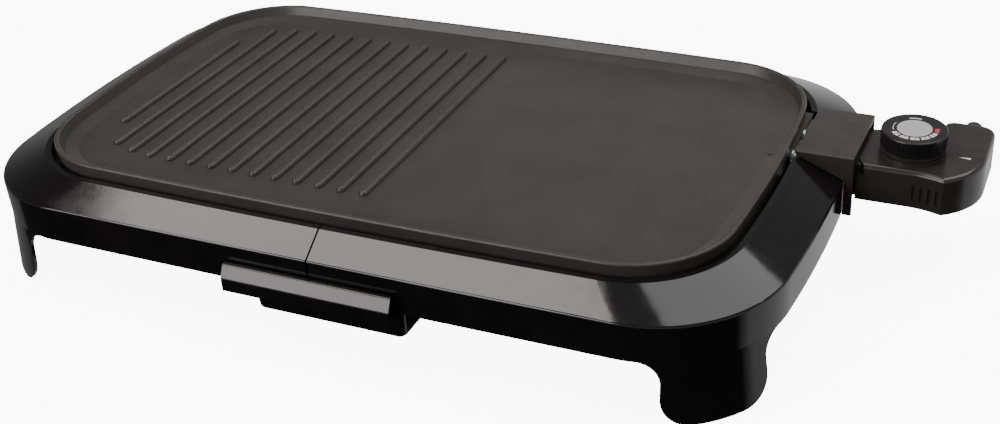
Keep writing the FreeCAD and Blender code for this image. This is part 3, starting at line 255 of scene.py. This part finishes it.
@dataclass(frozen=True)
class NonStick:
    """Sprayed non-stick coating on a casting: fine orange peel with pale mineral flecks."""

    name: str = "nonstick_coating"
    colour: Colour = (0.036, 0.0325, 0.0305)
    cloud: Colour = (0.045, 0.041, 0.0385)
    fleck: Colour = (0.11, 0.105, 0.10)
    fleck_spacing: float = 1.5 * MM
    roughness: float = 0.36

    def material(self) -> bpy.types.Material:
        """Build the material.

        Returns:
            A satin coating with flecks, mottling and a pebbled skin.
        """
        graph = Graph(self.name)
        clouds = graph.noise(30 * MM, 4.0)
        base = graph.blend(graph.spread(clouds, 0.0, 1.0, 0.3, 0.7), self.colour, self.cloud)
        flecks = graph.spread(graph.cells(self.fleck_spacing), 1.0, 0.0, 0.10, 0.2)
        thin = graph.spread(graph.noise(2.4 * MM, 1.0), 0.0, 1.0, 0.52, 0.6)
        gate = graph.nodes.new("ShaderNodeMath")
        gate.operation = "MULTIPLY"
        graph.links.new(flecks, gate.inputs[0])
        graph.links.new(thin, gate.inputs[1])
        mix = graph.nodes.new("ShaderNodeMix")
        mix.data_type = "RGBA"
        mix.inputs["B"].default_value = (*self.fleck, 1.0)
        graph.links.new(gate.outputs["Value"], mix.inputs["Factor"])
        graph.links.new(base, mix.inputs["A"])
        graph.feed("Base Color", next(s for s in mix.outputs if s.type == "RGBA"))
        graph.feed("Roughness", graph.spread(graph.noise(9 * MM, 3.0), self.roughness * 0.88,
                                             self.roughness * 1.12))
        pebble = graph.total(graph.noise(0.9 * MM, 3.0, 0.6), graph.noise(6 * MM, 2.0), 0.8)
        graph.bump(pebble, 0.035 * MM)
        graph.set(Specular_IOR_Level=0.4)
        return graph.material


@dataclass(frozen=True)
class Metal:
    """Bare metal: plated, drawn, turned or sprayed."""

    name: str
    colour: Colour
    tarnish: Colour
    roughness: float
    pattern: Surface = Surface.BRUSHED
    metallic: float = 1.0
    streak: Point = (1.0, 18.0, 18.0)

    def material(self) -> bpy.types.Material:
        """Build the material.

        Returns:
            A metal with drawn streaks or a cast skin, and light tarnish.
        """
        graph = Graph(self.name)
        clouds = graph.noise(7 * MM, 4.0, 0.6)
        graph.feed("Base Color",
                   graph.blend(graph.spread(clouds, 0.0, 1.0, 0.4, 0.75), self.colour, self.tarnish))
        if self.pattern is Surface.BRUSHED:
            lines = graph.noise(3 * MM, 3.0, 0.6, graph.stretched(self.streak))
        else:
            lines = graph.noise(1.2 * MM, 3.0, 0.6)
        graph.feed("Roughness",
                   graph.spread(lines, self.roughness * 0.75, self.roughness * 1.35, 0.3, 0.7))
        graph.bump(lines, 0.012 * MM)
        graph.set(Metallic=self.metallic)
        return graph.material


@dataclass(frozen=True)
class Ink:
    """Pad-printed ink: flat colour with slightly uneven cover."""

    name: str
    colour: Colour
    worn: Colour
    roughness: float = 0.45

    def material(self) -> bpy.types.Material:
        """Build the material.

        Returns:
            An ink with small thin spots.
        """
        graph = Graph(self.name)
        spots = graph.noise(0.7 * MM, 3.0, 0.6)
        graph.feed("Base Color",
                   graph.blend(graph.spread(spots, 0.0, 1.0, 0.55, 0.8), self.colour, self.worn))
        graph.feed("Roughness", graph.spread(spots, self.roughness * 0.9, self.roughness * 1.2))
        graph.bump(spots, 0.01 * MM)
        return graph.material


BASE_GLOSS = Moulding("base_gloss", (0.0045, 0.0040, 0.0042), (0.0065, 0.0058, 0.006), 0.11)
TRAY_GLOSS = Moulding("tray_gloss", (0.0045, 0.0040, 0.0042), (0.0065, 0.0058, 0.006), 0.15)
CONTROL_GLOSS = Moulding("control_gloss", (0.024, 0.0208, 0.0203), (0.031, 0.0272, 0.0265), 0.20)
HOOD_SATIN = Moulding("hood_satin", (0.030, 0.0243, 0.0228), (0.038, 0.0314, 0.0295), 0.34,
                      Surface.SPARK_GRAIN, grain=0.5 * MM)
DIAL_SATIN = Moulding("dial_satin", (0.009, 0.0085, 0.0085), (0.013, 0.012, 0.012), 0.22,
                      Surface.SPARK_GRAIN, grain=0.4 * MM)
GLAND_RUBBER = Moulding("gland_rubber", (0.014, 0.014, 0.014), (0.022, 0.021, 0.021), 0.55,
                        Surface.SPARK_GRAIN, grain=0.6 * MM)
STEATITE = Moulding("steatite", (0.66, 0.61, 0.52), (0.58, 0.53, 0.45), 0.5, Surface.SPARK_GRAIN,
                    grain=0.5 * MM)
COATING = NonStick()
ZINC = Metal("zinc_plate", (0.60, 0.61, 0.62), (0.42, 0.43, 0.42), 0.32)
STAINLESS = Metal("stainless_sheath", (0.50, 0.49, 0.47), (0.34, 0.31, 0.28), 0.30,
                  streak=(0.6, 14.0, 14.0))
BRASS = Metal("brass_strip", (0.70, 0.50, 0.22), (0.48, 0.33, 0.15), 0.30)
SILVER = Metal("silver_disc", (0.60, 0.59, 0.60), (0.54, 0.53, 0.55), 0.38, Surface.CAST, metallic=0.35)
WHITE_INK = Ink("white_ink", (0.72, 0.71, 0.70), (0.45, 0.44, 0.43))
RED_INK = Ink("red_ink", (0.55, 0.035, 0.05), (0.35, 0.03, 0.04))
BLACK_INK = Ink("black_ink", (0.02, 0.02, 0.02), (0.03, 0.03, 0.03))

Finish = Moulding | NonStick | Metal | Ink


class Paintbox:
    """Makes each finish's material once and hands it out."""

    def __init__(self) -> None:
        """Start with no materials made."""
        self.made: dict[str, bpy.types.Material] = {}

    def material(self, finish: Finish) -> bpy.types.Material:
        """Material of a finish.

        Args:
            finish: The finish wanted.

        Returns:
            Its material, built on first use.
        """
        if finish.name not in self.made:
            self.made[finish.name] = finish.material()
        return self.made[finish.name]

    def dress(self, node: str, finish: Finish) -> None:
        """Put a finish on a CAD node.

        Args:
            node: The node's name.
            finish: The finish for all its faces.
        """
        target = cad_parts[node]
        for slot in target.material_slots:
            slot.material = self.material(finish)
        if not target.material_slots:
            target.data.materials.append(self.material(finish))
        LOG.info("%s wears %s", node, finish.name)


PAINT = Paintbox()


def middle(node: str) -> Vector:
    """Centre of a CAD node's box.

    Args:
        node: The node's name.

    Returns:
        The centre in the row frame.
    """
    low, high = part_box(node)
    return (Vector(low) + Vector(high)) / 2


def mesh_piece(name: str, maker: bmesh.types.BMesh, finish: Finish, body: str) -> bpy.types.Object:
    """Turn a bmesh into a piece that rides on a body.

    Args:
        name: The piece's name.
        maker: The geometry, which is freed.
        finish: The piece's finish.
        body: The CAD body that it moves with.

    Returns:
        The new object.
    """
    mesh = bpy.data.meshes.new(name)
    bmesh.ops.recalc_face_normals(maker, faces=maker.faces)
    maker.to_mesh(mesh)
    maker.free()
    piece = bpy.data.objects.new(name, mesh)
    bpy.context.collection.objects.link(piece)
    mesh.materials.append(PAINT.material(finish))
    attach(piece, body)
    LOG.info("%s rides on %s", name, body)
    return piece


def add_prism(maker: bmesh.types.BMesh, outline: list[tuple[float, float]], low: float,
              high: float) -> None:
    """Add an upright prism on an outline.

    Args:
        maker: The mesh being made.
        outline: Corner points in X and Y, in order.
        low: Height of the bottom face.
        high: Height of the top face.
    """
    rings = [[maker.verts.new((x, y, z)) for x, y in outline] for z in (low, high)]
    maker.faces.new(rings[0])
    maker.faces.new(rings[1])
    count = len(outline)
    for i in range(count):
        j = (i + 1) % count
        maker.faces.new((rings[0][i], rings[0][j], rings[1][j], rings[1][i]))


@dataclass
class BaseAssembly:
    """Two glossy half mouldings, joined on the inside, with the steel tray rails."""

    halves: tuple[str, ...] = ("base_left", "base_right")
    steel: tuple[str, ...] = ("seam_screws", "seam_nuts", "tray_rail_left", "tray_rail_right",
                              "rail_screws")

    def dress(self) -> None:
        """Put the finishes on the base's nodes."""
        for node in self.halves:
            PAINT.dress(node, BASE_GLOSS)
        for node in self.steel:
            PAINT.dress(node, ZINC)


@dataclass
class DripTray:
    """Slide-out tray with a long lip for a handle."""

    node: str = "drip_tray"

    def dress(self) -> None:
        """Put the finish on the tray."""
        PAINT.dress(self.node, TRAY_GLOSS)


@dataclass
class CookingPlate:
    """Coated casting with its cast-in element, terminals and socket hood."""

    def dress(self) -> None:
        """Put the finishes on the plate's nodes."""
        PAINT.dress("griddle_plate", COATING)
        PAINT.dress("socket_hood", HOOD_SATIN)
        PAINT.dress("terminal_bushes", STEATITE)
        for node in ("heating_element", "terminal_pins"):
            PAINT.dress(node, STAINLESS)
        for node in ("terminal_bracket", "bracket_screws", "hood_screws"):
            PAINT.dress(node, ZINC)


@dataclass
class PlugInControl:
    """Thermostat housing that plugs into the plate, with its probe and switch."""

    pointer_length: float = 7.2 * MM
    pointer_width: float = 2.2 * MM
    pointer_x: float = 31.9 * MM
    pointer_y: float = 1.3 * MM
    control_height: float = 25.0 * MM
    ink_thick: float = 0.12 * MM

    def dress(self) -> None:
        """Put the finishes on the control's nodes."""
        for node in ("control_housing", "control_cover"):
            PAINT.dress(node, CONTROL_GLOSS)
        for node in ("thermostat_frame", "cover_screws"):
            PAINT.dress(node, ZINC)
        for node in ("receptacle_block", "contact_stack"):
            PAINT.dress(node, STEATITE)
        for node in ("pin_receptacles", "lower_contact_blade", "upper_contact_blade", "wiring_block"):
            PAINT.dress(node, BRASS)
        PAINT.dress("probe_rod", STAINLESS)
        PAINT.dress("cord_gland", GLAND_RUBBER)

    def pointer(self) -> None:
        """Print the wedge that the dial's scale is read against."""
        hub = middle("dial_knob")
        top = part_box("control_cover")[0][2] + self.control_height
        maker = bmesh.new()
        half = self.pointer_length / 2
        wedge = [(-half, 0.0), (half, self.pointer_width / 2), (half, -self.pointer_width / 2)]
        spot = Vector((hub.x + self.pointer_x, hub.y + self.pointer_y))
        outline = [tuple(Vector(p) + spot) for p in wedge]
        add_prism(maker, outline, top, top + self.ink_thick)
        mesh_piece("pointer_mark", maker, WHITE_INK, "control")


@dataclass
class TemperatureDial:
    """Fluted knob with a silver disc and a printed scale round it."""

    ring_inner: float = 12.2 * MM
    ring_outer: float = 15.2 * MM
    ink_thick: float = 0.12 * MM
    step_angle: float = 27.8
    first_angle: float = -135.0
    patch_angle: float = 22.5
    digit_height: float = 3.0 * MM
    patch_count: int = 5
    arc_steps: int = 10
    thin_ring: tuple[float, float] = (12.9 * MM, 13.4 * MM)
    thin_span: tuple[float, float] = (160.0, 204.0)
    bar_ring: tuple[float, float] = (13.2 * MM, 14.4 * MM)
    bar_span: tuple[float, float] = (82.0, 114.0)
    top: float = field(init=False)
    hub: Vector = field(init=False)

    def __post_init__(self) -> None:
        """Find the dial's centre and upper face from the frame."""
        self.hub = middle("dial_knob")
        self.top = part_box("dial_knob")[1][2]

    def dress(self) -> None:
        """Put the finishes on the dial's nodes."""
        PAINT.dress("dial_knob", DIAL_SATIN)
        PAINT.dress("dial_disc", SILVER)
        PAINT.dress("dial_spindle", BRASS)

    def arc_outline(self, inner: float, outer: float, start: float,
                    end: float) -> list[tuple[float, float]]:
        """Outline of a piece of a ring round the dial's centre.

        Args:
            inner: Inner radius.
            outer: Outer radius.
            start: First angle in degrees.
            end: Last angle in degrees.

        Returns:
            Points in X and Y.
        """
        steps = range(self.arc_steps + 1)
        angles = [math.radians(start + (end - start) * i / self.arc_steps) for i in steps]
        far = [(self.hub.x + outer * math.cos(a), self.hub.y + outer * math.sin(a)) for a in angles]
        near = [(self.hub.x + inner * math.cos(a),
                 self.hub.y + inner * math.sin(a)) for a in reversed(angles)]
        return far + near

    def printed_arc(self, name: str, radii: tuple[float, float], span: tuple[float, float],
                    finish: Finish) -> None:
        """Print one arc on the dial's face.

        Args:
            name: The piece's name.
            radii: Inner and outer radius.
            span: First and last angle in degrees.
            finish: The ink.
        """
        maker = bmesh.new()
        add_prism(maker, self.arc_outline(radii[0], radii[1], span[0], span[1]), self.top,
                  self.top + self.ink_thick)
        mesh_piece(name, maker, finish, "dial")

    def digit(self, text: str, angle: float) -> None:
        """Print a setting number on its patch, with its foot towards the dial's centre.

        Args:
            text: The number.
            angle: Where it stands round the dial, in degrees.
        """
        curve = bpy.data.curves.new(f"dial_number_{text}", "FONT")
        curve.body = text
        curve.size = self.digit_height
        curve.align_x = "CENTER"
        curve.align_y = "CENTER"
        curve.extrude = self.ink_thick / 3
        piece = bpy.data.objects.new(curve.name, curve)
        bpy.context.collection.objects.link(piece)
        turn = math.radians(angle)
        radius = (self.ring_inner + self.ring_outer) / 2
        piece.location = (self.hub.x + radius * math.cos(turn), self.hub.y + radius * math.sin(turn),
                          self.top + self.ink_thick * 1.2)
        piece.rotation_euler = (0.0, 0.0, turn + math.pi / 2)
        curve.materials.append(PAINT.material(BLACK_INK))
        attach(piece, "dial")
        LOG.info("number %s printed on the dial", text)

    def scale(self) -> None:
        """Print the numbered patches, the hot patch, the fine arc and the off bar."""
        radii = (self.ring_inner, self.ring_outer)
        for i in range(self.patch_count):
            centre = self.first_angle + self.step_angle * i
            span = (centre - self.patch_angle / 2, centre + self.patch_angle / 2)
            self.printed_arc(f"dial_patch_{i + 1}", radii, span, WHITE_INK)
            self.digit(str(i + 1), centre)
        hot = self.first_angle + self.step_angle * self.patch_count
        span = (hot - self.patch_angle / 2, hot + self.patch_angle / 2)
        self.printed_arc("dial_hot_patch", radii, span, RED_INK)
        self.printed_arc("dial_fine_arc", self.thin_ring, self.thin_span, WHITE_INK)
        self.printed_arc("dial_off_bar", self.bar_ring, self.bar_span, WHITE_INK)


@dataclass(frozen=True)
class Softbox:
    """Rectangular softbox: its centre, what it points at, its two sides, its watts and its tint."""

    name: str
    place: Point
    aim: Point | None
    size: tuple[float, float]
    power: float
    colour: Colour = (1.0, 1.0, 1.0)

    def hang(self) -> None:
        """Hang the softbox, level and facing down where it has no aim."""
        data = bpy.data.lights.new(self.name, "AREA")
        data.shape = "RECTANGLE"
        data.size, data.size_y = self.size
        data.energy = self.power
        data.color = self.colour
        light = bpy.data.objects.new(self.name, data)
        bpy.context.collection.objects.link(light)
        light.location = self.place
        if self.aim is not None:
            heading = Vector(self.aim) - Vector(self.place)
            light.rotation_euler = heading.to_track_quat("-Z", "Y").to_euler()
        LOG.info("%s hung", self.name)


SOFTBOXES = (
    Softbox("overhead_softbox", place=(-0.828, -0.52, 1.5), aim=None, size=(1.116, 0.66), power=17.0,
            colour=(1.0, 0.93, 0.92)),
    Softbox("front_softbox", place=(-1.05, -1.85, 0.74), aim=(0.0, -0.17, 0.05), size=(1.5, 1.0),
            power=30.0, colour=(1.0, 0.97, 0.965)),
    Softbox("floor_fill", place=(1.0, 1.2, 3.2), aim=(0.1, 0.0, 0.0), size=(3.0, 3.0), power=85.0),
)


@dataclass
class Studio:
    """Pale floor, graded surround, overhead softbox and the camera."""

    aim: Point = (0.0820, -0.0503, 0.060)
    azimuth: float = 24.0
    elevation: float = 31.1
    roll: float = -3.0
    distance: float = 0.8609
    lens: float = 50.1
    shift: tuple[float, float] = (-0.0694, 0.0)
    floor_half: float = 12.0
    floor_colour: Colour = (0.93, 0.93, 0.93)
    floor_glow: float = 9.0
    shade_half: tuple[float, float] = (0.235, 0.13)
    shade_left: float = 0.04
    shade_lift: float = 0.0004

    def camera(self) -> None:
        """Stand the camera at its place and make it the scene's."""
        a, e, r = (math.radians(v) for v in (self.azimuth, self.elevation, self.roll))
        back = Vector((math.sin(a) * math.cos(e), -math.cos(a) * math.cos(e), math.sin(e)))
        right = Vector((math.cos(a), math.sin(a), 0.0))
        up = back.cross(right)
        right, up = (right * math.cos(r) + up * math.sin(r), up * math.cos(r) - right * math.sin(r))
        data = bpy.data.cameras.new("camera")
        data.lens = self.lens
        data.shift_x, data.shift_y = self.shift
        data.clip_start = 0.01
        camera = bpy.data.objects.new("camera", data)
        bpy.context.collection.objects.link(camera)
        place = Matrix.Translation(Vector(self.aim) + back * self.distance)
        camera.matrix_world = place @ Matrix((right, up, back)).transposed().to_4x4()
        bpy.context.scene.camera = camera

    def floor(self) -> None:
        """Lay the pale floor, which the object doesn't mirror or take light from."""
        mesh = bpy.data.meshes.new("floor")
        h = self.floor_half
        mesh.from_pydata([(-h, -h, 0), (h, -h, 0), (h, h, 0), (-h, h, 0)], [], [(0, 1, 2, 3)])
        floor = bpy.data.objects.new("floor", mesh)
        bpy.context.collection.objects.link(floor)
        material = bpy.data.materials.new("floor_paper")
        material.use_nodes = True
        shader = material.node_tree.nodes["Principled BSDF"]
        shader.inputs["Base Color"].default_value = (*self.floor_colour, 1.0)
        shader.inputs["Roughness"].default_value = 0.9
        shader.inputs["Specular IOR Level"].default_value = 0.1
        shader.inputs["Emission Color"].default_value = (1.0, 1.0, 1.0, 1.0)
        shader.inputs["Emission Strength"].default_value = self.floor_glow
        mesh.materials.append(material)
        floor.visible_glossy = False
        floor.visible_diffuse = False

    def shade(self) -> None:
        """Lay a dark sheet below the base that only gloss sees, as the floor there is in shadow."""
        x, y = self.shade_half
        mesh = bpy.data.meshes.new("shade")
        left, right, z = -x - self.shade_left, x - self.shade_left, self.shade_lift
        mesh.from_pydata([(left, -y, z), (right, -y, z), (right, y, z), (left, y, z)], [],
                         [(0, 1, 2, 3)])
        sheet = bpy.data.objects.new("shade", mesh)
        bpy.context.collection.objects.link(sheet)
        material = bpy.data.materials.new("shade_cloth")
        material.use_nodes = True
        shader = material.node_tree.nodes["Principled BSDF"]
        shader.inputs["Base Color"].default_value = (0.05, 0.05, 0.05, 1.0)
        shader.inputs["Roughness"].default_value = 0.95
        mesh.materials.append(material)
        for flag in ("visible_camera", "visible_diffuse", "visible_shadow", "visible_transmission"):
            setattr(sheet, flag, False)

    def surround(self) -> None:
        """Grade the surround: pale at the horizon, dimmer up and left, dark below in front."""
        world = bpy.data.worlds.new("surround")
        bpy.context.scene.world = world
        world.use_nodes = True
        nodes = world.node_tree.nodes
        links = world.node_tree.links
        backdrop = nodes["Background"]
        coords = nodes.new("ShaderNodeTexCoord")
        split = nodes.new("ShaderNodeSeparateXYZ")
        links.new(coords.outputs["Generated"], split.inputs["Vector"])

        def ramp(value: bpy.types.NodeSocket, stops: list[tuple[float, float]]) -> bpy.types.NodeSocket:
            """Grey ramp over -1 to 1.

            Args:
                value: The direction's component.
                stops: Component and brightness pairs.

            Returns:
                The brightness socket.
            """
            shift = nodes.new("ShaderNodeMapRange")
            shift.inputs["From Min"].default_value = -1.0
            links.new(value, shift.inputs["Value"])
            node = nodes.new("ShaderNodeValToRGB")
            elements = node.color_ramp.elements
            while len(elements) < len(stops):
                elements.new(0.5)
            for element, (place, grey) in zip(elements, stops):
                element.position = (place + 1) / 2
                element.color = (grey, grey, grey, 1.0)
            links.new(shift.outputs["Result"], node.inputs["Fac"])
            return node.outputs["Color"]

        sky = ramp(split.outputs["Z"],
                   [(-1.0, 0.55), (-0.02, 0.95), (0.1, 0.9), (0.3, 0.5), (0.45, 0.3),
                                        (0.62, 0.22), (0.8, 0.2), (1.0, 0.3)])
        below = ramp(split.outputs["Z"], [(-1.0, 1.0), (-0.06, 1.0), (0.0, 0.0), (1.0, 0.0)])
        front = ramp(split.outputs["Y"], [(-1.0, 1.0), (-0.05, 1.0), (0.12, 0.0), (1.0, 0.0)])
        left = ramp(split.outputs["X"], [(-1.0, 0.75), (-0.7, 0.75), (-0.35, 0.0), (1.0, 0.0)])
        dark = nodes.new("ShaderNodeMath")
        dark.operation = "MULTIPLY"
        links.new(below, dark.inputs[0])
        links.new(front, dark.inputs[1])
        mix = nodes.new("ShaderNodeMix")
        mix.data_type = "RGBA"
        mix.inputs["B"].default_value = (0.02, 0.02, 0.02, 1.0)
        darkest = nodes.new("ShaderNodeMath")
        darkest.operation = "MAXIMUM"
        links.new(dark.outputs["Value"], darkest.inputs[0])
        links.new(left, darkest.inputs[1])
        links.new(darkest.outputs["Value"], mix.inputs["Factor"])
        links.new(sky, mix.inputs["A"])
        links.new(next(s for s in mix.outputs if s.type == "RGBA"), backdrop.inputs["Color"])
        backdrop.inputs["Strength"].default_value = 1.0

    def build(self) -> None:
        """Build the floor, the light and the camera."""
        self.floor()
        self.shade()
        self.surround()
        for box in SOFTBOXES:
            box.hang()
        self.camera()
        LOG.info("studio ready")


def main() -> None:
    """Dress the frame, add the printed marks and set the studio."""
    logging.basicConfig(level=logging.INFO, format="%(name)s: %(message)s")
    Studio().build()
    BaseAssembly().dress()
    DripTray().dress()
    CookingPlate().dress()
    control = PlugInControl()
    control.dress()
    control.pointer()
    dial = TemperatureDial()
    dial.dress()
    dial.scale()


if __name__ == "__main__":
    main()
